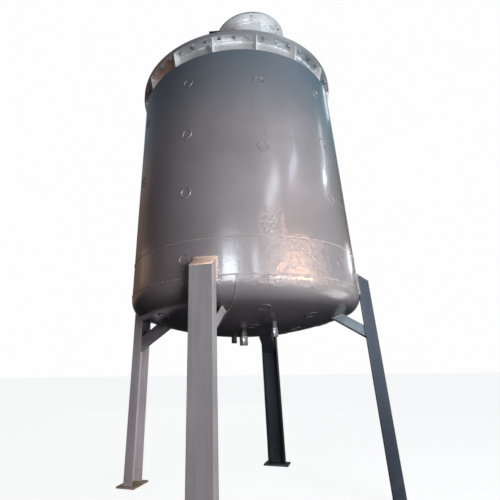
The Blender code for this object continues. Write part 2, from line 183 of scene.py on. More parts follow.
class Signal:
    def __init__(self, tree, socket=None):
        self.tree = tree
        self.socket = socket

    def node(self, kind, settings=None, sockets=None, output=0):
        made = self.tree.nodes.new(kind)
        for name, value in (settings or {}).items():
            if name == "stops":
                fillRamp(made.color_ramp, value)
            else:
                setattr(made, name, value)
        for name, value in (sockets or {}).items():
            if isinstance(value, Signal):
                self.tree.links.new(value.socket, made.inputs[name])
            else:
                made.inputs[name].default_value = value
        return Signal(self.tree, made.outputs[output])

    def maths(self, operation, *values):
        return self.node("ShaderNodeMath", {"operation": operation}, dict(enumerate(values)))

    def __add__(self, other):
        return self.maths("ADD", self, other)

    def __radd__(self, other):
        return self.maths("ADD", other, self)

    def __sub__(self, other):
        return self.maths("SUBTRACT", self, other)

    def __rsub__(self, other):
        return self.maths("SUBTRACT", other, self)

    def __mul__(self, other):
        return self.maths("MULTIPLY", self, other)

    def mix(self, low, high):             # self is the factor between two colours
        return self.node("ShaderNodeMix", {"data_type": "RGBA"}, {0: self, 6: low, 7: high}, 2)

    def rise(self, low, high):            # 0 below low, 1 above high, smooth between
        settings = {"interpolation_type": "SMOOTHSTEP"}
        return self.node("ShaderNodeMapRange", settings,
                         {"Value": self, "From Min": low, "From Max": high})

    def stretch(self, x, y, z):           # scales a vector
        return self.node("ShaderNodeVectorMath", {"operation": "MULTIPLY"}, {0: self, 1: (x, y, z)})

    def noise(self, scale, detail=3.0, roughness=0.5):
        return self.node("ShaderNodeTexNoise", None, {"Vector": self, "Scale": scale,
                                                      "Detail": detail, "Roughness": roughness})

    def axis(self, letter):
        return self.node("ShaderNodeSeparateXYZ", None, {0: self}, "XYZ".index(letter))

    def towards(self, azimuth, radius=1.0):          # 1 at that azimuth and radius, less round from it
        return self.node("ShaderNodeVectorMath", {"operation": "DOT_PRODUCT"},
                         {0: self, 1: polar(math.radians(azimuth), 1 / radius)}, "Value")


def fillRamp(ramp, stops):
    while len(ramp.elements) < len(stops):
        ramp.elements.new(1.0)
    for element, (place, color) in zip(ramp.elements, stops):
        element.position = place
        element.color = (*color, 1.0)


def setWorld():
    world = bpy.data.worlds.new("studio")
    bpy.context.scene.world = world
    world.use_nodes = True
    tree = world.node_tree
    direction = Signal(tree).node("ShaderNodeTexCoord", output="Generated")
    height = direction.axis("Z") * 0.5 + 0.5
    bright, dim = [height.node("ShaderNodeValToRGB", {"stops": list(zip(sky["places"], sky[side]))},
                               {0: height}) for side in ("bright", "dim")]
    mirrored = direction.towards(sky["brightSide"]).rise(-0.9, 0.9).mix(dim, bright)
    seen = direction.node("ShaderNodeLightPath", output="Is Camera Ray")
    colour = seen.mix(mirrored, tone(sky["backdrop"]))
    tree.links.new(colour.socket, tree.nodes["Background"].inputs["Color"])


def startFinish(name, metallic=0.0, **constants):
    material = bpy.data.materials.new(name)
    material.use_nodes = True
    tree = material.node_tree
    shader = tree.nodes["Principled BSDF"]
    shader.inputs["Metallic"].default_value = metallic
    for socket, value in constants.items():
        shader.inputs[socket.replace("_", " ")].default_value = value
    place = Signal(tree).node("ShaderNodeTexCoord", output="Object")
    return material, place


def endFinish(material, colour, rough, relief, depth, coat=None):
    tree = material.node_tree
    shader = tree.nodes["Principled BSDF"]
    bump = relief.node("ShaderNodeBump", None, {"Height": relief, "Distance": depth, "Strength": 1.0})
    tree.links.new(colour.socket, shader.inputs["Base Color"])
    tree.links.new(rough.socket, shader.inputs["Roughness"])
    tree.links.new(bump.socket, shader.inputs["Normal"])
    if coat:
        tree.links.new(coat.socket, shader.inputs["Coat Weight"])
    return material


def tone(color, share=1.0):               # a colour for a socket, darker or lighter by its share
    return (*[share * value for value in color], 1.0)


jacketLook = {
    "dark": (0.207, 0.191, 0.198), "light": (0.262, 0.241, 0.248), "streak": (0.205, 0.190, 0.193),
    # Painted reflection and painted shade: the first colour on the next line and its two heights make the
    # top of the jacket bluer and darker.
    "high": (0.135, 0.166, 0.194), "skyShadeFrom": 2.35, "skyShadeTo": 3.15,
    # Painted shade: the last colour on the next line darkens the dished bottom, between the two heights on
    # the line after.
    "scorch": (0.11, 0.09, 0.085), "rubbed": (0.62, 0.54, 0.50), "under": (0.026, 0.025, 0.030),
    "seams": (1.572, 1.324), "shadeFrom": 1.31, "shadeTo": 1.13, "relief": 0.0006, "fade": 0.03,
    "lowCourse": ((1.18, 1.24), (1.56, 1.67)),       # m, where the plate starts and ends to be uneven
    "glossTop": (1.62, 1.95), "rolledFrom": (1.60, 1.76), "heat": (0.006, 0.055), "rub": (0.004, 0.010),
    "dents": (                            # azimuth, spread, heights, depth and wear of the lumpy places
        (39.0, (0.945, 0.988), (1.30, 1.58), 1.2, 0.95), (27.5, (0.9915, 0.9996), (1.57, 1.77), 3.0, 0.1),
        (44.0, (0.88, 0.96), (1.24, 1.335), 3.0, 0.1), (8.0, (0.93, 0.97), (1.25, 1.335), 1.2, 0.1)),
}


def makeJacketPaint():
    look = jacketLook
    material, place = startFinish("jacket_paint", Coat_Roughness=0.12, Specular_IOR_Level=0.55)
    height = place.axis("Z")
    cloud = place.noise(1.7, 5.0, 0.55)
    runs = place.stretch(9.0, 9.0, 0.8).noise(1.0, 4.0, 0.6)
    speck = place.noise(70.0, 2.0, 0.6)
    colour = cloud.rise(0.32, 0.70).mix(tone(look["dark"]), tone(look["light"]))
    colour = (runs.rise(0.50, 0.75) * 0.45).mix(colour, tone(look["streak"]))
    rolled = place.stretch(1.6, 1.6, 17.0).noise(1.0, 4.0, 0.6).rise(0.42, 0.70)
    colour = (rolled * 0.22).mix(colour, tone(look["dark"]))
    # painted reflection of the sky and painted shade: the jacket's top bluer and darker
    colour = (height.rise(look["skyShadeFrom"], look["skyShadeTo"]) * 0.9).mix(colour, tone(look["high"]))
    upperGap, lowerGap = [(height - seam).maths("ABSOLUTE") for seam in look["seams"]]
    nearest = upperGap.maths("MINIMUM", lowerGap)
    heat = 1 - nearest.rise(*look["heat"])
    patchy = heat * place.noise(11.0, 4.0, 0.65).rise(0.42, 0.68)
    colour = (patchy * 0.35).mix(colour, tone(look["scorch"]))
    rubbed = (1 - nearest.rise(*look["rub"])) * place.noise(9.0, 4.0, 0.6).rise(0.30, 0.56)
    colour = (rubbed * 0.75).mix(colour, tone(look["rubbed"]))
    # painted shade: the dished bottom darker towards its lowest point; the same mask also thins the coat
    # there
    below = 1 - height.rise(look["shadeTo"], look["shadeFrom"])
    colour = (below * 0.86).mix(colour, tone(look["under"]))
    lowFoot, lowHead = look["lowCourse"]
    low = (1 - height.rise(*lowHead)) * height.rise(*lowFoot)
    uneven = low * 1.2
    dimpled = low * 2.5 + 0.5
    worn = low * 0.06
    for azimuth, spread, (foot, head), share, wear in look["dents"]:
        dent = place.towards(azimuth, upper["outer"]).rise(*spread)
        dent = dent * height.rise(foot, foot + look["fade"]) * share
        dent = dent * (1 - height.rise(head - look["fade"], head))
        uneven = uneven + dent * 8.0
        dimpled = dimpled + dent * 1.2
        worn = worn + dent * wear
    rolled = place.stretch(5.0, 5.0, 110.0).noise(1.0, 3.0, 0.6)
    rolled = rolled * (height.rise(*look["rolledFrom"]) * 0.6 + 0.3)
    lumps = (place.noise(24.0, 4.0, 0.62) - 0.5) * uneven + (place.noise(85.0, 3.0, 0.6) - 0.5) * dimpled
    lumps = lumps + (place.noise(42.0, 4.0, 0.65) - 0.5) * heat * 4.5 + rolled
    gloss = 1 - height.rise(*look["glossTop"])
    matt = place.stretch(1.0, 1.0, 0.8).noise(24.0, 5.0, 0.70).rise(0.46, 0.56) * worn
    coat = 0.5 - matt * 0.46 - below * 0.25
    rough = 0.17 + cloud * 0.08 - gloss * 0.04 + patchy * 0.10 + speck * 0.05 + matt * 0.22
    relief = place.noise(150.0, 2.0) * 0.25 + place.noise(14.0, 3.0) * 0.8 + patchy * (speck - 0.5) * 2.0
    return endFinish(material, colour, rough, relief + lumps, look["relief"], coat)


seamLook = {"dark": (0.28, 0.24, 0.235), "light": (0.40, 0.335, 0.32), "relief": 0.0012}


def makeSeamPaint():
    material, place = startFinish("seam_paint", Coat_Weight=0.7, Coat_Roughness=0.12)
    cloud = place.noise(30.0, 4.0, 0.6)
    colour = cloud.rise(0.30, 0.72).mix(tone(seamLook["dark"]), tone(seamLook["light"]))
    relief = place.noise(90.0, 3.0, 0.6) + place.noise(38.0, 3.0, 0.6) * 2.0
    return endFinish(material, colour, 0.18 + cloud * 0.2, relief, seamLook["relief"])


legLook = {
    "dusty": (0.36, 0.27, 0.20), "rusty": (0.16, 0.07, 0.035), "relief": 0.0005,
    "dustTop": (0.02, 0.30), "fadeTop": (0.1, 1.05),          # m, heights where it starts and ends
}


def makeLegPaint(name, tint, dust, gloss, fade=0.0):
    material, place = startFinish(name, Coat_Weight=gloss, Coat_Roughness=0.2,
                                  Specular_IOR_Level=min(0.5, 0.2 + gloss * 1.2))
    height = place.axis("Z")
    cloud = place.noise(3.0, 5.0, 0.6)
    runs = place.stretch(22.0, 22.0, 1.2).noise(1.0, 4.0, 0.6)
    colour = (cloud * 0.5 + runs * 0.5).rise(0.36, 0.64).mix(tone(tint, 0.86), tone(tint, 1.10))
    # Darker towards the foot, by the share fade.
    colour = ((1 - height.rise(*legLook["fadeTop"])) * fade).mix(colour, tone(tint, 0.4))
    foot = (1 - height.rise(*legLook["dustTop"])) * place.noise(16.0, 5.0, 0.7).rise(0.42, 0.66)
    colour = (foot * dust).mix(colour, tone(legLook["dusty"]))
    rust = place.noise(38.0, 4.0, 0.7).rise(0.69, 0.74)
    colour = (rust * 0.7).mix(colour, tone(legLook["rusty"]))
    rough = 0.36 + cloud * 0.16 + rust * 0.3 + foot * 0.2
    relief = place.noise(170.0, 2.0) * 0.3 + place.noise(20.0, 3.0) + rust
    return endFinish(material, colour, rough, relief, legLook["relief"])


steelLook = {"stain": (0.33, 0.29, 0.25), "cut": (0.36, 0.36, 0.345), "cutRim": (0.0015, 0.0005),
             "relief": 0.0004, "brushed": 260.0}

flangePaintedLight = (                                # azimuth, spread, share and colour of painted reflection and shade round the flanges: brown on the left, bluish dark on the right, copper in one bay
    (-90.0, (0.40, 0.77), 0.95, (0.40, 0.185, 0.10)), (90.0, (0.66, 0.92), 0.75, (0.27, 0.31, 0.35)),
    (-33.0, (0.950, 0.990), 0.80, (0.88, 0.54, 0.36)),
)

# Painted shade: the neck darker on its left side.
neckPaintedShade = ((-62.0, (0.62, 0.97), 0.85, (0.42, 0.385, 0.36)),)


def makeStainless(name, color, roughness=0.30, centre=(0.0, 0.0), cutEdge=9.0, metallic=0.6,
                  paintedLightShare=0.0, paintedLight=flangePaintedLight):
    material, place = startFinish(name, metallic=metallic)
    local = place.node("ShaderNodeMapping", None,
                       {"Vector": place, "Location": (-centre[0], -centre[1], 0.0)})
    flat = local.stretch(1.0, 1.0, 0.0)
    radius = flat.node("ShaderNodeVectorMath", {"operation": "LENGTH"}, {0: flat}, "Value")
    around = flat.node("ShaderNodeVectorMath", {"operation": "NORMALIZE"}, {0: flat})
    across = (local.axis("Z") + radius) * steelLook["brushed"]
    sweep = around.node("ShaderNodeCombineXYZ", None, {0: around.axis("X") * 5.0,
                                                       1: around.axis("Y") * 5.0, 2: across})
    grain = sweep.noise(1.0, 4.0, 0.7)
    cloud = place.noise(7.0, 4.0, 0.6)
    tint = (cloud * 0.6 + grain * 0.4).rise(0.25, 0.72)
    light = [min(1.0, 1.12 * value) for value in color]
    colour = tint.mix(tone(color, 0.72), tone(light))
    stain = place.noise(15.0, 5.0, 0.65).rise(0.60, 0.74)
    colour = (stain * 0.5).mix(colour, tone(steelLook["stain"]))
    # Painted reflection and painted shade, by azimuth round the centre, each by its share.
    for azimuth, spread, share, shade in paintedLight:
        colour = (around.towards(azimuth).rise(*spread) * (share * paintedLightShare)).mix(colour, tone(shade))
    near, far = steelLook["cutRim"]
    edge = radius.rise(cutEdge - near, cutEdge - far) * (0.55 + cloud * 0.5)
    colour = edge.mix(colour, tone(steelLook["cut"]))
    rough = edge * 0.2 + roughness - 0.08 + grain * 0.16 + cloud * 0.12 + stain * 0.15
    relief = grain * 0.7 + place.noise(30.0, 3.0) * 0.7
    return endFinish(material, colour, rough, relief, steelLook["relief"])


weldLook = {"dark": 0.55, "relief": 0.0014}


def makeWeldSteel(name, color, metallic, roughness):
    material, place = startFinish(name, metallic=metallic)
    lumps = place.noise(120.0, 3.0, 0.6)
    cloud = place.noise(18.0, 4.0, 0.6)
    colour = (cloud * 0.6 + lumps * 0.4).rise(0.35, 0.62).mix(tone(color, weldLook["dark"]), tone(color))
    rough = roughness - 0.1 + cloud * 0.25
    return endFinish(material, colour, rough, lumps, weldLook["relief"])


baseLook = {"rusty": (0.17, 0.085, 0.045), "relief": 0.0009}


def makeBaseSteel(name, low, high):
    material, place = startFinish(name)
    dust = place.noise(9.0, 5.0, 0.65)
    rust = place.noise(26.0, 5.0, 0.7)
    colour = dust.rise(0.35, 0.65).mix(tone(low), tone(high))
    colour = (rust.rise(0.52, 0.68) * 0.75).mix(colour, tone(baseLook["rusty"]))
    rough = 0.62 + dust * 0.2
    relief = place.noise(90.0, 4.0, 0.6) + rust
    return endFinish(material, colour, rough, relief, baseLook["relief"])


driveLook = {"dark": (0.026, 0.044, 0.080), "light": (0.046, 0.072, 0.118), "worn": (0.16, 0.15, 0.14),
             "relief": 0.0005}


def makeDrivePaint():
    material, place = startFinish("drive_paint", Coat_Weight=0.2, Coat_Roughness=0.2)
    cloud = place.noise(6.0, 4.0, 0.6)
    worn = place.noise(33.0, 5.0, 0.7).rise(0.66, 0.73)
    colour = cloud.rise(0.35, 0.65).mix(tone(driveLook["dark"]), tone(driveLook["light"]))
    colour = (worn * 0.6).mix(colour, tone(driveLook["worn"]))
    rough = 0.34 + cloud * 0.2 + worn * 0.2
    return endFinish(material, colour, rough, place.noise(110.0, 3.0), driveLook["relief"])


gasketLook = {"dark": (0.52, 0.50, 0.47), "light": (0.76, 0.75, 0.72), "relief": 0.0004}


def makeGasket():
    material, place = startFinish("gasket")
    fibre = place.stretch(1.0, 1.0, 6.0).noise(60.0, 4.0, 0.7)
    colour = fibre.rise(0.35, 0.7).mix(tone(gasketLook["dark"]), tone(gasketLook["light"]))
    return endFinish(material, colour, 0.7 + fibre * 0.2, fibre, gasketLook["relief"])


def makeFloor():
    material, place = startFinish("studio_floor", Emission_Color=(1.0, 1.0, 1.0, 1.0),
                                  Emission_Strength=floor["glow"])
    grain = place.noise(2.0, 3.0)
    colour = grain.mix(tone(floor["color"], 0.985), tone(floor["color"]))
    return endFinish(material, colour, 0.85 + grain * 0.05, grain, floor["relief"])


# Modelling helpers

def addPiece(name, bm, material, slot, replaces=(), crease=creases["sheet"]):
    bmesh.ops.recalc_face_normals(bm, faces=bm.faces)
    mesh = bpy.data.meshes.new(name)
    bm.to_mesh(mesh)
    bm.free()
    mesh.materials.append(material)
    mesh.shade_smooth()
    mesh.set_sharp_from_angle(angle=math.radians(crease))
    piece = bpy.data.objects.new(name, mesh)
    bpy.context.scene.collection.objects.link(piece)
    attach(piece, "root")
    if slot in litPieces:
        litPieces[slot].objects.link(piece)
    if replaces:
        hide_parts(*replaces)
    return piece


def addWelds(name, bm, material, slot):
    addPiece(name, bm, material, slot, crease=creases["weld"])


def roundOff(bm, items, width, segments=2, affect="EDGES"):
    bmesh.ops.bevel(bm, geom=items, offset=width, offset_type="OFFSET", segments=segments, profile=0.5,
                    affect=affect, material=-1, clamp_overlap=True)


def roundNode(name):                      # centre, inner and outer radius, low and high of a node
    low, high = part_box(name)
    centre = (low.xy + high.xy) / 2
    reach = [(vert.co.xy - centre).length for vert in nodes[name].data.vertices]
    return {"centre": centre, "inner": min(reach), "outer": max(reach), "low": low.z, "high": high.z}


def spun(outline, count, centre=(0.0, 0.0), width=rounding["turned"], rows=0.0):
    bm = bmesh.new()
    verts = [bm.verts.new((0.0, -radius, height)) for radius, height in outline]
    bm.faces.new(verts)
    sharp = math.radians(creases["turned"])
    corners = [v for v in bm.verts if v.calc_edge_angle(0) > sharp and v.co.y < -slack / 2]
    if width:
        roundOff(bm, corners, width, affect="VERTICES")
    bmesh.ops.delete(bm, geom=bm.faces[:], context="FACES_ONLY")
    if rows:                              # extra rings on long straight walls
        for edge in [e for e in bm.edges if e.calc_length() > 2 * rows]:
            bmesh.ops.subdivide_edges(bm, edges=[edge], cuts=int(edge.calc_length() / rows))
    bmesh.ops.spin(bm, geom=bm.verts[:] + bm.edges[:], cent=(0, 0, 0), axis=(0, 0, 1),
                   dvec=(0, 0, 0), angle=math.tau, space=Matrix.Identity(4), steps=count,
                   use_merge=True, use_normal_flip=False, use_duplicate=False)
    bmesh.ops.remove_doubles(bm, verts=bm.verts, dist=merge)
    bmesh.ops.dissolve_degenerate(bm, edges=bm.edges, dist=merge)
    loose = [e for e in bm.edges if not e.link_faces]
    bmesh.ops.delete(bm, geom=loose, context="EDGES")
    bmesh.ops.translate(bm, verts=bm.verts, vec=(centre[0], centre[1], 0.0))
    return bm


def extrude(bm, shift):                   # draws the one flat face out to a solid
    grown = bmesh.ops.extrude_face_region(bm, geom=bm.faces[:])
    ends = [item for item in grown["geom"] if isinstance(item, bmesh.types.BMVert)]
    bmesh.ops.translate(bm, verts=ends, vec=shift)


def ringOutline(inner, outer, low, high):
    return [(outer, low), (outer, high), (inner, high), (inner, low)]


def smoothRing(name, node, count, material, slot, **more):
    size = roundNode(node)
    outline = ringOutline(size["inner"], size["outer"], size["low"], size["high"])
    bm = spun(outline, count, size["centre"], **more)
    return addPiece(name, bm, material, slot, [node])


def settle(piece):                        # applies the modifiers to the mesh
    graph = bpy.context.evaluated_depsgraph_get()
    mesh = bpy.data.meshes.new_from_object(piece.evaluated_get(graph))
    old = piece.data
    piece.modifiers.clear()
    piece.data = mesh
    bpy.data.meshes.remove(old)
    mesh.set_sharp_from_angle(angle=math.radians(creases["sheet"]))


def disc(bm, centre, radius, low, high, sides, turn=0.0):
    spot = Matrix.Translation((centre[0], centre[1], (low + high) / 2)) @ Matrix.Rotation(turn, 4, "Z")
    made = bmesh.ops.create_cone(bm, cap_ends=True, segments=sides, radius1=radius, radius2=radius,
                                 depth=high - low, matrix=spot)
    return made["verts"]


def drill(piece, holes, insideShade=None):       # holes: centre, radius, low, high, sides
    bits = bmesh.new()
    for hole in holes:
        disc(bits, *hole)
    mesh = bpy.data.meshes.new("bits")
    bits.to_mesh(mesh)
    bits.free()
    # A material given here goes on the cut walls: painted shade inside the holes.
    if insideShade:
        mesh.materials.append(insideShade)
    tool = bpy.data.objects.new("bits", mesh)
    bpy.context.scene.collection.objects.link(tool)
    cut = piece.modifiers.new("holes", "BOOLEAN")
    cut.operation = "DIFFERENCE"
    cut.solver = "EXACT"
    cut.object = tool
    cut.material_mode = "TRANSFER" if insideShade else "INDEX"
    bpy.context.view_layer.update()
    settle(piece)
    bpy.data.objects.remove(tool, do_unlink=True)


# A weld's radius, its swell and ripples as shares of it, and the ripples' pitch. A closed one also
# has its count of points and how far it stands out of and up from the place that is given for it.
plainBead = {"uneven": 0.25, "pitch": 0.009, "ripples": 0.10, "out": 0.0, "up": 0.0}
swells = {"perMetre": 28.0, "close": 8, "seeds": 100.0}


def weld(bm, path, bead, closed=False):
    bead = {**plainBead, **bead}
    length = sum((b - a).length for a, b in zip(path, path[1:]))
    curve = bpy.data.curves.new("bead", "CURVE")
    curve.dimensions = "3D"
    curve.bevel_depth = bead["size"]
    curve.bevel_resolution = 1
    curve.use_fill_caps = True
    line = curve.splines.new("POLY")
    line.points.add(len(path) - 1)
    line.use_cyclic_u = closed
    drift = random.uniform(0.0, swells["seeds"])
    run = 0.0
    for number, (point, place) in enumerate(zip(line.points, path)):
        if number:
            run += (place - path[number - 1]).length
        blend = 1.0
        if closed:                        # the bead's swell closes on itself
            blend = min(1.0, swells["close"] * min(run, length - run) / max(length, slack))
        swell = noise.noise(Vector((run * swells["perMetre"], drift, 0.0))) * bead["uneven"] * blend
        ripple = bead["ripples"] * math.sin(math.tau * run / bead["pitch"])
        point.co = (*place, 1.0)
        point.radius = 1.0 + swell + ripple
    rod = bpy.data.objects.new("bead", curve)
    bpy.context.scene.collection.objects.link(rod)
    bpy.context.view_layer.update()
    graph = bpy.context.evaluated_depsgraph_get()
    mesh = bpy.data.meshes.new_from_object(rod.evaluated_get(graph))
    bm.from_mesh(mesh)
    bpy.data.objects.remove(rod, do_unlink=True)
    bpy.data.meshes.remove(mesh)
    bpy.data.curves.remove(curve)


def circlePath(radius, height, points, centre=(0.0, 0.0)):
    shift = Vector((centre[0], centre[1], 0.0))
    return [polar(math.tau * number / points, radius, height) + shift for number in range(points)]


def linePath(start, end, step=pathStep):
    start, end = Vector(start), Vector(end)
    count = max(2, round((end - start).length / step) + 1)
    return [start.lerp(end, number / (count - 1)) for number in range(count)]


def ringWeld(bm, bead, radius, height, centre=(0.0, 0.0)):
    bead = {**plainBead, **bead}
    weld(bm, circlePath(radius + bead["out"], height + bead["up"], bead["points"], centre), bead, True)


def lineWeld(bm, bead, start, end, step=pathStep):
    weld(bm, linePath(start, end, step), bead)


def turned(bm, azimuth):
    bmesh.ops.rotate(bm, verts=bm.verts, cent=(0, 0, 0), matrix=Matrix.Rotation(azimuth, 3, "Z"))
    return bm


def joinInto(bm, part):                   # adds one bmesh to another
    mesh = bpy.data.meshes.new("part")
    part.to_mesh(mesh)
    part.free()
    bm.from_mesh(mesh)
    bpy.data.meshes.remove(mesh)


def roundedCopy(name, node, material, slot, width):
    bm = bmesh.new()
    bm.from_mesh(nodes[node].data)
    bmesh.ops.remove_doubles(bm, verts=bm.verts, dist=2 * merge)
    bmesh.ops.dissolve_limit(bm, angle_limit=math.radians(creases["flat"]), verts=bm.verts,
                             edges=bm.edges)
    sharp = math.radians(creases["copied"])
    edges = [e for e in bm.edges if len(e.link_faces) == 2 and e.calc_face_angle(0) > sharp]
    roundOff(bm, edges, width)
    return addPiece(name, bm, material, slot, [node])


# Dished forms: radius of the straight part, knuckle, crown, tangent height, direction

def dishHeight(form, radius, inset=0.0):
    ring = form["radius"] - form["knuckle"]
    centreDrop = math.sqrt((form["crown"] - form["knuckle"]) ** 2 - ring ** 2)
    small, large = form["knuckle"] - inset, form["crown"] - inset
    meet = large * ring / (form["crown"] - form["knuckle"])
    if radius <= meet:
        rise = math.sqrt(large ** 2 - radius ** 2) - centreDrop
    else:
        rise = math.sqrt(max(0.0, small ** 2 - (radius - ring) ** 2))
    return form["tangent"] + form["way"] * rise


def dishPoints(form, inset):
    ring = form["radius"] - form["knuckle"]
    lean = math.asin(ring / (form["crown"] - form["knuckle"]))
    small, large = form["knuckle"] - inset, form["crown"] - inset
    points = []
    for step in range(form["knuckleSteps"]):
        angle = (math.pi / 2 - lean) * step / form["knuckleSteps"]
        radius = ring + small * math.cos(angle)
        points.append((radius, form["tangent"] + form["way"] * small * math.sin(angle)))
    for step in range(form["crownSteps"] + 1):
        radius = large * math.sin(lean * (1 - step / form["crownSteps"]))
        points.append((radius, dishHeight(form, radius, inset)))
    points[-1] = (0.0, points[-1][1])
    return points


def dishOutline(form, rim, inset=0.0):
    outside = dishPoints(form, inset)
    inside = dishPoints(form, inset + form["wall"])
    edge = form["radius"] - inset
    return [(edge, rim)] + outside + inside[::-1] + [(edge - form["wall"], rim)]


def saddleWeld(bm, bead, form, radius, centre):          # round a pipe on a dished form
    bead = {**plainBead, **bead}
    path = circlePath(radius + bead["out"], 0.0, bead["points"], centre)
    for point in path:
        point.z = dishHeight(form, point.xy.length) + bead["up"]
    weld(bm, path, bead, True)


upper = roundNode("jacket_upper_course")
lower = roundNode("jacket_lower_course")
shell = roundNode("kettle_shell")
bodyFlange = 0.0203                       # m, thickness of the kettle's own flange, with its clearance
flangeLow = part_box("flange_gasket")[0].z - bodyFlange

bottomForm = {
    "radius": upper["outer"], "knuckle": 0.132, "crown": 2.500, "tangent": 1.302, "way": -1,
    "wall": upper["outer"] - upper["inner"], "knuckleSteps": 14, "crownSteps": 22,
}

lidForm = {
    "radius": shell["outer"], "knuckle": 0.100, "crown": 2.400, "tangent": 3.345, "way": 1,
    "wall": shell["outer"] - shell["inner"], "knuckleSteps": 12, "crownSteps": 20,
}

stubs = {name: roundNode(name) for name in ("outlet_stub", "steam_stub", "drain_stub")}


# Jacket

jacketWelds = {
    "course": {"size": 0.0056, "uneven": 0.2, "points": 1500},
    "head": {"size": 0.0066, "uneven": 0.2, "points": 1500},
    "long": {"size": 0.0045, "uneven": 0.4},
    "plug": {"size": 0.0066, "uneven": 0.12, "points": 30, "up": 0.0026},
    "chord": {"size": 0.0042, "uneven": 0.35},
}

seams = {"upper": 172, "lower": 201, "sunk": 0.55}    # degrees, and a share of a ring seam's size

plugWelds = {                             # a column's first azimuth and heights, a round's and its radius
    "ring": 0.0375, "sunk": 0.0041,
    "columns": ((-9.3, (2.900, 2.410, 1.927, 1.446)), (26.7, (2.822, 2.232))), "perRound": 5,
    "headRings": ((24.8, 0.733), (58.0, 0.660), (23.4, 0.405)), "perHeadRound": 6,
}

scars = {"count": 13, "azimuth": 26.5, "across": 0.090, "height": 1.665, "tall": 0.110, "uneven": 0.8,
         "half": (0.003, 0.012), "bead": (0.0024, 0.0042), "sunk": 0.0004}

chord = {"out": 0.30, "azimuth": -58.0, "up": 0.0005, "step": 0.003}

plateWaves = {"depth": 0.0011, "scale": 2.6, "row": 0.06, "inwards": 0.6, "still": 0.1}      # m

pipeHoles = {"jacket": 0.4, "kettle": (1.0, 1.3)}     # m, depth from the tangent, heights


def plugPlaces():                         # centres of the rings on the courses: azimuth, height
    places = []
    for first, heights in plugWelds["columns"]:
        for number in range(plugWelds["perRound"]):
            for height in heights:
                places.append((math.radians(first + 360 / plugWelds["perRound"] * number), height))
    return places


def wave(bm):                             # rolled plate is never quite round
    for vert in bm.verts:
        flat = vert.co.xy.length
        if flat > plateWaves["still"]:
            lift = noise.noise(vert.co * plateWaves["scale"]) - plateWaves["inwards"]
            vert.co.xy *= 1 + lift * plateWaves["depth"] / flat
    return bm


def makeJacket(paint, seamPaint, scarPaint, chordPaint):
    for name, size in (("jacket_upper_course", upper), ("jacket_lower_course", lower)):
        outline = ringOutline(size["inner"], size["outer"], size["low"], size["high"])
        bm = wave(spun(outline, steps["large"], width=0.0, rows=plateWaves["row"]))
        addPiece(name + "_plate", bm, paint, "jacket_paint", [name])
    head = addPiece("jacket_dished_bottom",
                    spun(dishOutline(bottomForm, lower["low"]), steps["large"], width=0.0),
                    paint, "jacket_paint", ["jacket_bottom_head"])
    low, high = bottomForm["tangent"] - pipeHoles["jacket"], bottomForm["tangent"]
    drill(head, [(stub["centre"], stub["outer"] + clearance, low, high, steps["pipe"])
                 for stub in stubs.values()])
    smoothRing("jacket_closure_ring_plate", "jacket_closure_ring", steps["large"], paint,
               "jacket_paint", width=0.0)
    addSeams(seamPaint)
    addPlugWelds(paint)
    addScars(scarPaint)
    addChord(chordPaint)


def addSeams(paint):
    bm = bmesh.new()
    for bead, height in ((jacketWelds["course"], lower["high"]), (jacketWelds["head"], lower["low"])):
        ringWeld(bm, bead, upper["outer"] - bead["size"] * seams["sunk"], height)
    for azimuth, low, high in ((seams["upper"], lower["high"], upper["high"]),
                               (seams["lower"], lower["low"], lower["high"])):
        foot = polar(math.radians(azimuth), upper["outer"] - fillet, low)
        lineWeld(bm, jacketWelds["long"], foot, (foot.x, foot.y, high))
    addWelds("jacket_seam_welds", bm, paint, "jacket_paint")


def addPlugWelds(paint):
    bm = bmesh.new()
    reach = upper["outer"] - plugWelds["sunk"]
    points = jacketWelds["plug"]["points"]
    for azimuth, height in plugPlaces():
        spot = polar(azimuth, upper["outer"], height)
        side = Vector((0, 0, 1)).cross(spot.xy.normalized().to_3d())
        path = []
        for number in range(points):
            angle = math.tau * number / points
            across = plugWelds["ring"] * math.cos(angle)
            point = spot + side * across + Vector((0, 0, plugWelds["ring"] * math.sin(angle)))
            path.append(Vector((*(point.xy.normalized() * reach), point.z)))
        weld(bm, path, jacketWelds["plug"], True)
    for first, radius in plugWelds["headRings"]:
        for number in range(plugWelds["perHeadRound"]):
            centre = polar(math.radians(first + 360 / plugWelds["perHeadRound"] * number), radius)
            saddleWeld(bm, jacketWelds["plug"], bottomForm, plugWelds["ring"], centre)
    addWelds("jacket_plug_welds", bm, paint, "jacket_paint")


def addScars(paint):                      # tacks ground away, in one patch
    bm = bmesh.new()
    for _ in range(scars["count"]):
        azimuth = math.radians(scars["azimuth"]) + random.uniform(-0.5, 0.5) * scars["across"]
        height = scars["height"] + random.uniform(-0.5, 0.5) * scars["tall"]
        lean, half = random.uniform(0.0, math.pi), random.uniform(*scars["half"])
        path = []
        for step in (-1.0, -0.5, 0.0, 0.5, 1.0):
            turn = azimuth + step * half * math.cos(lean) / upper["outer"]
            path.append(polar(turn, upper["outer"] - scars["sunk"], height + step * half * math.sin(lean)))
        weld(bm, path, {"size": random.uniform(*scars["bead"]), "uneven": scars["uneven"]})
    addWelds("jacket_tack_scars", bm, paint, "jacket_paint")


def addChord(paint):                      # straight weld across the dished bottom
    bm = bmesh.new()
    middle = polar(math.radians(chord["azimuth"]), chord["out"])
    along = Vector((0, 0, 1)).cross(middle.normalized())
    half = math.sqrt((upper["outer"] - clearance) ** 2 - chord["out"] ** 2)
    path = linePath(middle - along * half, middle + along * half, chord["step"])
    for point in path:
        point.z = dishHeight(bottomForm, point.xy.length) + chord["up"]
    up = Vector((0, 0, lower["low"]))
    path = [path[0].xy.to_3d() + up] + path + [path[-1].xy.to_3d() + up]
    weld(bm, path, jacketWelds["chord"])
    addWelds("jacket_bottom_weld", bm, paint, "jacket_paint")


# Kettle

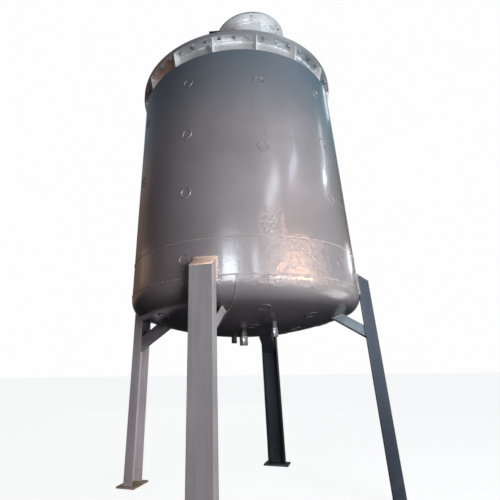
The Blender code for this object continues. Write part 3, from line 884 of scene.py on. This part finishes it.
kettleWelds = {
    "rim": {"size": 0.0075, "uneven": 0.8, "points": 1400, "out": 0.001, "up": -0.001},
    "jacketRim": {"size": 0.0040, "uneven": 0.4, "points": 1000, "out": 0.001, "up": 0.001},
    "jacketTop": {"size": 0.0030, "uneven": 0.4, "points": 1000, "up": 0.0008},
}


def makeKettle(steel, weldSteel):
    smoothRing("kettle_wall", "kettle_shell", steps["large"], steel, "stainless")
    inset = upper["outer"] - shell["outer"]
    head = addPiece("kettle_dished_bottom",
                    spun(dishOutline(bottomForm, lower["low"], inset), steps["large"]),
                    steel, "stainless", ["kettle_bottom_head"])
    outlet = stubs["outlet_stub"]
    drill(head, [(outlet["centre"], outlet["outer"] + clearance, *pipeHoles["kettle"], steps["pipe"])])
    bm = bmesh.new()
    ringWeld(bm, kettleWelds["rim"], shell["outer"], flangeLow)
    ringWeld(bm, kettleWelds["jacketRim"], shell["outer"], upper["high"])
    addWelds("kettle_rim_welds", bm, weldSteel, "stainless")
    bm = bmesh.new()
    ringWeld(bm, kettleWelds["jacketTop"], upper["inner"], upper["high"])
    addWelds("jacket_top_weld", bm, weldSteel, "stainless")


# Bolted joint

joint = {
    "bolts": 48, "firstBolt": 8.05, "boltCircle": 0.902, "thread": 0.010, "acrossFlats": 0.030,
    "nut": 0.017, "head": 0.011, "washer": 0.0155, "washerThick": 0.0025, "tail": 0.012,
    "gussets": 16, "firstGusset": 4.5, "gussetThick": 0.008, "gussetFoot": 0.899, "gussetTop": 0.928,
    "washerSides": 18, "tailSides": 12, "tailShare": (0.7, 1.2), "overlap": 0.001,
    "beadOut": 0.0012, "beadEnd": 0.004,
}

jointWelds = {
    "gusset": {"size": 0.0028, "uneven": 0.4},
    "lidRim": {"size": 0.0045, "uneven": 0.4, "points": 1000, "out": 0.001, "up": 0.001},
}


def hexagon(bm, centre, flats, low, high, turn):
    verts = disc(bm, centre, flats / math.sqrt(3), low, high, 6, turn)
    rims = {edge for vert in verts for edge in vert.link_edges
            if abs(edge.verts[0].co.z - edge.verts[1].co.z) < slack}
    roundOff(bm, list(rims), rounding["nut"], 1)


def addBolt(bm, centre, low, high):       # nut and tail below, head above
    thick, washer, flats = joint["washerThick"], joint["washer"], joint["acrossFlats"]
    turn = random.uniform(0.0, math.tau)
    disc(bm, centre, washer, low - thick, low, joint["washerSides"])
    foot = low - thick - joint["nut"]
    hexagon(bm, centre, flats, foot, low - thick, turn)
    tail = foot - joint["tail"] * random.uniform(*joint["tailShare"])
    disc(bm, centre, joint["thread"], tail, foot + joint["overlap"], joint["tailSides"])
    disc(bm, centre, washer, high, high + thick, joint["washerSides"])
    hexagon(bm, centre, flats, high + thick, high + thick + joint["head"], random.uniform(0.0, math.tau))


def makeJoint(steel, gussetSteel, weldSteel, boltSteel, gasket):
    gasketSize = roundNode("flange_gasket")
    lidRing = roundNode("lid_flange")
    outline = ringOutline(shell["inner"], lidRing["outer"], flangeLow, gasketSize["low"] - clearance)
    addPiece("kettle_flange", spun(outline, steps["large"]), steel, "stainless", ["body_flange"])
    smoothRing("joint_gasket", "flange_gasket", steps["large"], gasket, "gasket",
               width=rounding["gasket"])
    smoothRing("lid_flange_ring", "lid_flange", steps["large"], steel, "stainless")
    addGussets(gussetSteel, weldSteel)

    bolts = bmesh.new()
    for number in range(joint["bolts"]):
        azimuth = math.radians(joint["firstBolt"] + 360 * number / joint["bolts"])
        addBolt(bolts, polar(azimuth, joint["boltCircle"]).xy, flangeLow, lidRing["high"])
    addPiece("flange_bolts", bolts, boltSteel, "stainless", crease=creases["bolt"])
    bm = bmesh.new()
    ringWeld(bm, jointWelds["lidRim"], shell["outer"], lidRing["high"])
    addWelds("lid_rim_weld", bm, weldSteel, "stainless")


def addGussets(steel, weldSteel):
    half = joint["gussetThick"] / 2
    foot = upper["high"] + clearance
    near = shell["outer"] + clearance
    outline = [(near, foot), (joint["gussetFoot"], foot), (joint["gussetTop"], flangeLow),
               (near, flangeLow)]
    bead, out, end = jointWelds["gusset"], joint["beadOut"], joint["beadEnd"]
    gussets = bmesh.new()
    welds = bmesh.new()
    for number in range(joint["gussets"]):
        azimuth = math.radians(joint["firstGusset"] + 360 * number / joint["gussets"])
        plate = bmesh.new()
        plate.faces.new([plate.verts.new((-half, -reach, z)) for reach, z in outline])
        extrude(plate, (2 * half, 0, 0))
        bmesh.ops.recalc_face_normals(plate, faces=plate.faces)
        roundOff(plate, plate.edges[:], rounding["gusset"])
        joinInto(gussets, turned(plate, azimuth))
        seam = bmesh.new()
        for side in (-half - out, half + out):
            lineWeld(seam, bead, (side, -near - out, foot + end), (side, -near - out, flangeLow - end))
            lineWeld(seam, bead, (side, -near - end, flangeLow - out),
                     (side, -joint["gussetTop"] + end, flangeLow - out))
        joinInto(welds, turned(seam, azimuth))
    addPiece("flange_gussets", gussets, steel, "stainless")
    addWelds("gusset_welds", welds, weldSteel, "stainless")


# Lid and manhole

manhole = {
    "holes": 6, "firstHole": 17.5, "holeCircle": 0.298, "hole": 0.011, "past": 0.01, "cut": (3.3, 3.8),
    "seam": 64.0, "sway": 0.006, "swayTurn": 0.55,
    "seamOff": ((0.003, -0.004), (0.004, -0.002), (-0.018, -0.001)),      # m, out and up, at each bend
}

lidWelds = {
    "neckFoot": {"size": 0.0050, "uneven": 0.4, "points": 500, "out": 0.002, "up": 0.002},
    "hubFoot": {"size": 0.0055, "uneven": 0.5, "points": 400, "out": 0.001, "up": -0.001},
    "hubTop": {"size": 0.0062, "uneven": 0.5, "points": 420, "out": 0.001, "up": -0.0012},
    "neckTop": {"size": 0.0028, "points": 400, "out": -0.001, "up": 0.001},
    "neckSeam": {"size": 0.0046, "uneven": 0.6},
    "stirrerFoot": {"size": 0.0040, "points": 200, "out": 0.0015, "up": 0.0015},
    "pad": {"size": 0.0032, "points": 200, "out": 0.001, "up": -0.001},
}


def addNeckSeam(bm, neck, hub, ring):     # the rolled neck's own weld, carried out under its flange
    azimuth = math.radians(manhole["seam"])
    centre = neck["centre"].to_3d()
    foot = polar(azimuth, neck["outer"]) + centre
    low = dishHeight(lidForm, foot.xy.length)
    path = linePath((foot.x, foot.y, low), (foot.x, foot.y, hub["low"]))
    bends = ((hub["outer"], hub["low"]), (hub["outer"], ring["low"]), (ring["outer"], ring["low"]))
    for (reach, height), (out, up) in zip(bends, manhole["seamOff"]):
        path += linePath(path[-1], polar(azimuth, reach + out, height + up) + centre)[1:]
    across = Vector((0, 0, 1)).cross(polar(azimuth, 1.0))
    for number, point in enumerate(path):
        point += across * manhole["sway"] * math.sin(number * manhole["swayTurn"])
    weld(bm, path, lidWelds["neckSeam"])


def makeLid(steel, neckSteel, weldSteel, boreShade):
    neck = roundNode("manhole_neck")
    stirrer = roundNode("stirrer_neck")
    lidRing = roundNode("lid_flange")
    lid = addPiece("dished_lid", spun(dishOutline(lidForm, lidRing["low"]), steps["large"]), steel,
                   "stainless", ["lid"])
    drill(lid, [(pipe["centre"], pipe["outer"] + clearance, *manhole["cut"], steps["neck"])
                for pipe in (neck, stirrer)])
    smoothRing("manhole_neck_wall", "manhole_neck", steps["neck"], neckSteel, "stainless")
    smoothRing("manhole_hub", "manhole_hub_ring", steps["neck"], neckSteel, "stainless")
    ring = smoothRing("manhole_flange_ring", "manhole_flange", steps["neck"], neckSteel, "stainless")
    size = roundNode("manhole_flange")
    holes = []
    for number in range(manhole["holes"]):
        azimuth = math.radians(manhole["firstHole"] + 360 * number / manhole["holes"])
        spot = polar(azimuth, manhole["holeCircle"]).xy + size["centre"]
        holes.append((spot, manhole["hole"], size["low"] - manhole["past"], size["high"] + manhole["past"],
                      steps["hole"]))
    drill(ring, holes, boreShade)

    hub = roundNode("manhole_hub_ring")
    pad = roundNode("stool_pad_flange")
    bm = bmesh.new()
    saddleWeld(bm, lidWelds["neckFoot"], lidForm, neck["outer"], neck["centre"])
    ringWeld(bm, lidWelds["hubFoot"], hub["inner"], hub["low"], hub["centre"])
    ringWeld(bm, lidWelds["hubTop"], hub["outer"], size["low"], hub["centre"])
    ringWeld(bm, lidWelds["neckTop"], neck["outer"], neck["high"], neck["centre"])
    saddleWeld(bm, lidWelds["stirrerFoot"], lidForm, stirrer["outer"], stirrer["centre"])
    ringWeld(bm, lidWelds["pad"], pad["inner"], pad["low"])
    addNeckSeam(bm, neck, hub, size)
    addWelds("lid_welds", bm, weldSteel, "stainless")
    smoothRing("stirrer_neck_wall", "stirrer_neck", steps["neck"], steel, "stainless")
    smoothRing("stool_pad", "stool_pad_flange", steps["neck"], steel, "stainless")


# Drive stool

stool = {
    "ribs": 4, "firstRib": 15, "side": 0.006, "start": 0.006, "reach": 0.222, "out": 0.0015, "end": 0.004,
    "foot": {"size": 0.0038, "uneven": 0.4, "points": 220, "out": 0.001, "up": 0.001},
    "top": {"size": 0.0038, "uneven": 0.4, "points": 220, "out": 0.001, "up": -0.001},
    "rib": {"size": 0.0030},
}


def makeStool(paint):
    smoothRing("drive_stool_pipe", "drive_stool_tube", steps["neck"], paint, "drive_paint")
    for number in range(1, stool["ribs"] + 1):
        roundedCopy(f"drive_rib_{number}", f"drive_plate_rib_{number}", paint, "drive_paint",
                    rounding["rib"])
    roundedCopy("drive_plate", "drive_mounting_plate", paint, "drive_paint", rounding["plate"])
    pipe = roundNode("drive_stool_tube")
    bm = bmesh.new()
    ringWeld(bm, stool["foot"], pipe["outer"], pipe["low"])
    ringWeld(bm, stool["top"], pipe["outer"], pipe["high"])
    low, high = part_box("drive_plate_rib_1")[0].z, pipe["high"]
    near, end = -pipe["outer"] - stool["out"], stool["end"]
    for number in range(stool["ribs"]):
        azimuth = math.radians(stool["firstRib"] + 360 * number / stool["ribs"])
        seam = bmesh.new()
        for side in (-stool["side"], stool["side"]):
            lineWeld(seam, stool["rib"], (side, near, low + end), (side, near, high - end))
            lineWeld(seam, stool["rib"], (side, -pipe["outer"] - stool["start"], high - fillet),
                     (side, -stool["reach"], high - fillet))
        joinInto(bm, turned(seam, azimuth))
    addWelds("drive_stool_welds", bm, paint, "drive_paint")


# Legs

leg = {
    "toeThick": 0.0066, "rootThick": 0.0112, "web": 0.006, "hollow": 0.0006, "land": 0.019, "flat": 0.004,
    "rootRound": 0.007, "toeRound": 0.0035, "cornerRound": 0.0018, "sharp": 35, "rows": 60,
    "wander": 0.0022, "wanderFrom": 0.85, "wanderOver": 0.15, "wanderPerMetre": 5.0, "seeds": (10.0, 3.0),
    "names": ("front", "right", "rear", "left"),
}

brace = {"slope": 0.66, "reach": (0.3, 0.86), "halvings": 40, "sideSteps": 16, "halfSteps": 12,
         "footOff": (0.008, 0.003)}

legWelds = {
    "below": 0.012, "out": 0.0015, "end": 0.004, "edge": 0.002, "step": 0.003, "halfSteps": 20,
    "toe": {"size": 0.0078, "uneven": 0.6, "pitch": 0.021, "ripples": 0.35},
    "capTop": {"size": 0.0058, "uneven": 0.7, "pitch": 0.021, "ripples": 0.3},
    "capSide": {"size": 0.0022, "uneven": 0.3},
    "braceTop": {"size": 0.0040, "uneven": 0.5},
    "braceFoot": {"size": 0.0030, "uneven": 0.4},
    "base": {"size": 0.0034, "uneven": 0.5},
}


def turnedBack(node, azimuth):            # a node's points with its leg turned to the front
    back = Matrix.Rotation(-azimuth, 3, "Z")
    return [back @ vert.co for vert in nodes[node].data.vertices]


def legSection(half, face, toe):
    inside = -face + leg["web"]
    root, tip = half - leg["rootThick"], half - leg["toeThick"]
    land = half - leg["land"]
    right = [(land, -face + leg["hollow"]), (half - leg["flat"], -face), (half, -face), (half, -toe),
             (tip, -toe), (root, inside)]
    return right + [(-x, y) for x, y in reversed(right)]


def makeLeg(name, azimuth, paint, bracePaint, capPaint, weldPaint):
    points = turnedBack("leg_" + name, azimuth)
    half = max(point.x for point in points)
    face, toe = -min(p.y for p in points), -max(p.y for p in points)
    low = min(p.z for p in points)
    toeTop = max(p.z for p in points)
    faceTop = max(p.z for p in points if p.y < -face + 2 * slack)
    bm = bmesh.new()
    bm.faces.new([bm.verts.new((x, y, low)) for x, y in legSection(half, face, toe)])
    sharp = math.radians(leg["sharp"])
    tips = [v for v in bm.verts if v.calc_edge_angle(0) > sharp and v.co.y > -toe - slack
            and abs(v.co.x) < half - slack]
    roundOff(bm, tips, leg["toeRound"], 3, "VERTICES")
    corners = [v for v in bm.verts if v.calc_edge_angle(0) > sharp and v.co.y < -face + 2 * slack]
    roundOff(bm, corners, leg["cornerRound"], 3, "VERTICES")
    roots = [v for v in bm.verts if abs(v.co.y + face - leg["web"]) < slack / 2
             and abs(abs(v.co.x) - half + leg["rootThick"]) < slack / 2]
    roundOff(bm, roots, leg["rootRound"], 4, "VERTICES")
    extrude(bm, (0, 0, faceTop - low))
    uprights = [e for e in bm.edges if abs(e.verts[0].co.z - e.verts[1].co.z) > 0.5]
    bmesh.ops.subdivide_edges(bm, edges=uprights, cuts=leg["rows"])
    slope = (toeTop - faceTop) / (face - toe)
    legSeed, sideSeed = leg["seeds"]
    for vert in bm.verts:
        if vert.co.z > faceTop - slack:
            vert.co.z = faceTop + (vert.co.y + face) * slope
        depth = (vert.co.y + face) / (face - toe)
        if depth > leg["wanderFrom"]:     # the toes wander a little along their length
            side = 1 if vert.co.x > 0 else -1
            shift = noise.noise(Vector((vert.co.z * leg["wanderPerMetre"], legSeed * azimuth,
                                        side * sideSeed)))
            share = (depth - leg["wanderFrom"]) / leg["wanderOver"]
            vert.co.x -= side * leg["wander"] * (0.5 + 0.5 * shift) * share
    addPiece(f"leg_{name}_channel", turned(bm, azimuth), paint, "leg_paint", ["leg_" + name])
    roundedCopy(f"leg_{name}_cap", "leg_cap_" + name, capPaint, "leg_paint", rounding["cap"])
    roundedCopy(f"leg_{name}_brace", "knee_brace_" + name, bracePaint, "leg_paint", rounding["brace"])

    bm = bmesh.new()
    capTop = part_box("leg_cap_" + name)[1].z
    foot = bottomForm["tangent"] - legWelds["below"]
    wall, end, edge = upper["outer"], legWelds["end"], legWelds["edge"]
    for side in (-1, 1):
        x = side * (half + legWelds["out"])
        y = -math.sqrt(wall ** 2 - x ** 2) - fillet
        lineWeld(bm, legWelds["toe"], (x, y, foot), (x, y, capTop - end), legWelds["step"])
        x = side * (half - edge)
        lineWeld(bm, legWelds["capSide"], (x, -toe - end, toeTop - fillet),
                 (x, -face + edge, faceTop + fillet))
    halves = legWelds["halfSteps"]
    over = [Vector((x, -math.sqrt(wall ** 2 - x ** 2) - edge, capTop + fillet))
            for x in [half * (step / halves - 1) for step in range(2 * halves + 1)]]
    weld(bm, over, legWelds["capTop"])
    addBraceWelds(bm, name, azimuth, toe, face)
    addWelds(f"leg_{name}_welds", turned(bm, azimuth), weldPaint, "leg_paint")


def addBraceWelds(bm, name, azimuth, toe, face):
    points = turnedBack("knee_brace_" + name, azimuth)
    half = max(point.x for point in points)
    outer = min(point.y for point in points)
    lowAt = min(p.z for p in points if p.y < outer + slack)
    tall = max(p.z for p in points if p.y < outer + slack) - lowAt
    slope = brace["slope"]

    def meet(x, share):                   # where a line along the brace meets the dished bottom
        near, far = brace["reach"]
        for _ in range(brace["halvings"]):
            out = (near + far) / 2
            line = lowAt + (-outer - out) * slope + share * tall
            if line > dishHeight(bottomForm, math.hypot(x, out)):
                near = out
            else:
                far = out
        return Vector((x, -out, line - fillet))

    sides, halves = brace["sideSteps"], brace["halfSteps"]
    path = [meet(-half, 1 - step / sides) for step in range(sides)]
    path += [meet(half * (step / halves - 1), 0.0) for step in range(2 * halves + 1)]
    path += [meet(half, (step + 1) / sides) for step in range(sides)]
    weld(bm, path, legWelds["braceTop"])
    inwards, up = brace["footOff"]
    for side in (-1, 1):
        x = side * (half + fillet)
        start = (x, -toe, lowAt + (-outer - toe) * slope + fillet)
        lineWeld(bm, legWelds["braceFoot"], start, (x, -face + inwards, lowAt + up))


def makeBasePlate(name, azimuth, steel, beadPaint):
    roundedCopy(f"base_{name}", "base_plate_" + name, steel, "base_plate_steel", rounding["plate"])
    points = turnedBack("leg_" + name, azimuth)
    half = max(point.x for point in points) + fillet
    face, toe = -min(p.y for p in points) + fillet, -max(p.y for p in points)
    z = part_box("base_plate_" + name)[1].z + fillet
    corners = [(-half, -toe, z), (-half, -face, z), (half, -face, z), (half, -toe, z)]
    path = []
    for start, end in zip(corners, corners[1:]):
        path += linePath(start, end)[:-1]
    bm = bmesh.new()
    weld(bm, path, legWelds["base"])
    addWelds(f"base_{name}_weld", turned(bm, azimuth), beadPaint, "leg_paint")


# Pipe stubs and sockets

stubWelds = {
    "stub": {"size": 0.0034, "uneven": 0.5, "points": 60, "out": 0.001, "up": -0.001},
    "socket": {"size": 0.0022, "points": 50, "out": 0.0008, "up": 0.0006},
}


def makeStubs(darkPaint, brightSteel, weldSteel, beadPaint):
    smoothRing("outlet_pipe", "outlet_stub", steps["pipe"], darkPaint, "stub_paint")
    for name in ("steam", "drain"):
        smoothRing(f"{name}_pipe", f"{name}_stub", steps["pipe"], darkPaint, "stub_paint")
        smoothRing(f"{name}_coupling", f"{name}_socket", steps["pipe"], brightSteel, "bright_steel",
                   width=rounding["socket"])
    bm = bmesh.new()
    for stub in stubs.values():
        saddleWeld(bm, stubWelds["stub"], bottomForm, stub["outer"], stub["centre"])
    addWelds("stub_welds", bm, beadPaint, "jacket_paint")
    bm = bmesh.new()
    for name in ("steam", "drain"):
        stub, top = stubs[name + "_stub"], roundNode(name + "_socket")["high"]
        ringWeld(bm, stubWelds["socket"], stub["outer"], top, stub["centre"])
    addWelds("socket_welds", bm, weldSteel, "bright_steel")


def makeStage():
    bm = bmesh.new()
    bmesh.ops.create_grid(bm, x_segments=1, y_segments=1, size=floor["half"])
    mesh = bpy.data.meshes.new("studio_floor")
    bm.to_mesh(mesh)
    bm.free()
    mesh.materials.append(makeFloor())
    ground = bpy.data.objects.new("studio_floor", mesh)
    bpy.context.scene.collection.objects.link(ground)
    ground.visible_diffuse = False
    ground.visible_glossy = False


legLitAndShadedTints = {                              # channel, brace and cap of each leg: one paint in lit and shaded copies, painted light and shade for how each leg faces the lamps; the front cap's peach is a painted highlight
    "front": ((0.250, 0.232, 0.243), (0.250, 0.232, 0.240), (0.95, 0.66, 0.52)),
    "right": ((0.039, 0.051, 0.074), (0.155, 0.190, 0.222), (0.09, 0.11, 0.14)),
    "rear": ((0.033, 0.040, 0.056), (0.035, 0.041, 0.050), (0.05, 0.055, 0.065)),
    "left": ((0.500, 0.452, 0.470), (0.200, 0.186, 0.205), (0.40, 0.36, 0.36)),
}
# Dust and gloss of the lit legs and of the shaded ones; the shaded legs are also darker towards the foot.
legDustAndShade = {"litLeg": {"dust": 0.4, "gloss": 0.25}, "dark": {"dust": 0.06, "gloss": 0.06, "fade": 0.6}}

setCamera()
setWorld()
for lampName, lampSize in lamps.items():
    addLamp(lampName, **lampSize)
bpy.context.scene.view_settings.view_transform = "Standard"
makeStage()
print("studio set")

jacketCoat = makeJacketPaint()
seamCoat = makeSeamPaint()
kettleSteel = makeStainless("stainless", (0.92, 0.93, 0.945), paintedLightShare=1.0)
lidSteel = makeStainless("lid_stainless", (0.92, 0.93, 0.945), paintedLightShare=0.2)
# A darker copy of the same stainless for the body and lid flanges: painted shade on the flange underside.
flangeShadedSteel = makeStainless("flange_shaded_stainless", (0.61, 0.62, 0.63), 0.32,
                            cutEdge=roundNode("lid_flange")["outer"], metallic=0.7, paintedLightShare=0.5)
gussetSteel = makeStainless("gusset_stainless", (0.96, 0.97, 1.0), metallic=0.25)
neckRing = roundNode("manhole_flange")
neckSteel = makeStainless("neck_stainless", (0.95, 0.95, 0.95), centre=neckRing["centre"],
                          cutEdge=neckRing["outer"], metallic=0.5, paintedLightShare=1.0, paintedLight=neckPaintedShade)
rimWeld = makeWeldSteel("bright_weld", (0.97, 0.97, 0.97), 0.55, 0.26)
boltSteel = makeWeldSteel("bolt_steel", (0.62, 0.62, 0.65), 0.9, 0.24)
# Dark walls of the manhole flange's bolt holes: painted shade.
boreShade = makeWeldSteel("bore_painted_shade", (0.09, 0.085, 0.08), 0.3, 0.6)
pipeSteel = makeStainless("bright_steel", (0.40, 0.40, 0.42), 0.22, metallic=0.8)
stubPaint = makeLegPaint("stub_paint", (0.045, 0.045, 0.053), dust=0.0, gloss=0.3)
scarCoat = makeLegPaint("scar_paint", (0.36, 0.34, 0.35), dust=0.0, gloss=0.9)
chordCoat = makeLegPaint("chord_paint", (0.15, 0.145, 0.17), dust=0.0, gloss=0.5)
# Peach weld on the front leg's toes: a painted highlight.
toeHighlightCoat = makeLegPaint("toe_weld_highlight", (0.62, 0.48, 0.41), dust=0.0, gloss=0.8)
drivePaint = makeDrivePaint()
# Base plates in a lit, dusty copy and a shaded, dark copy: painted light and shade.
dustySteel = makeBaseSteel("base_plate_dusty", (0.34, 0.235, 0.165), (0.46, 0.35, 0.26))
shadedBaseSteel = makeBaseSteel("base_plate_shaded", (0.045, 0.050, 0.060), (0.085, 0.090, 0.105))
gasketSheet = makeGasket()
print("finishes made")

makeJacket(jacketCoat, seamCoat, scarCoat, chordCoat)
print("jacket made")
makeKettle(kettleSteel, rimWeld)
makeJoint(flangeShadedSteel, gussetSteel, rimWeld, boltSteel, gasketSheet)
print("kettle and bolted joint made")
makeLid(lidSteel, neckSteel, rimWeld, boreShade)
makeStool(drivePaint)
print("lid, manhole and stool made")
for legNumber, legName in enumerate(leg["names"]):
    legTurn = legNumber * math.pi / 2
    # Front and left legs take the lit copies of the paint and base plate, right and rear the shaded
    # copies: painted light and shade.
    litLeg = legName in ("front", "left")
    wear = legDustAndShade["litLeg" if litLeg else "dark"]
    legCoat, braceCoat, capCoat = [makeLegPaint(f"{part}_paint_{legName}", tint, **wear)
                                   for part, tint in zip(("leg", "brace", "cap"), legLitAndShadedTints[legName])]
    toePaint = {"front": toeHighlightCoat, "right": seamCoat, "left": seamCoat}.get(legName, legCoat)
    makeLeg(legName, legTurn, legCoat, braceCoat, capCoat, toePaint)
    makeBasePlate(legName, legTurn, dustySteel if litLeg else shadedBaseSteel, legCoat)
print("legs made")
makeStubs(stubPaint, pipeSteel, rimWeld, jacketCoat)
print("stubs made")
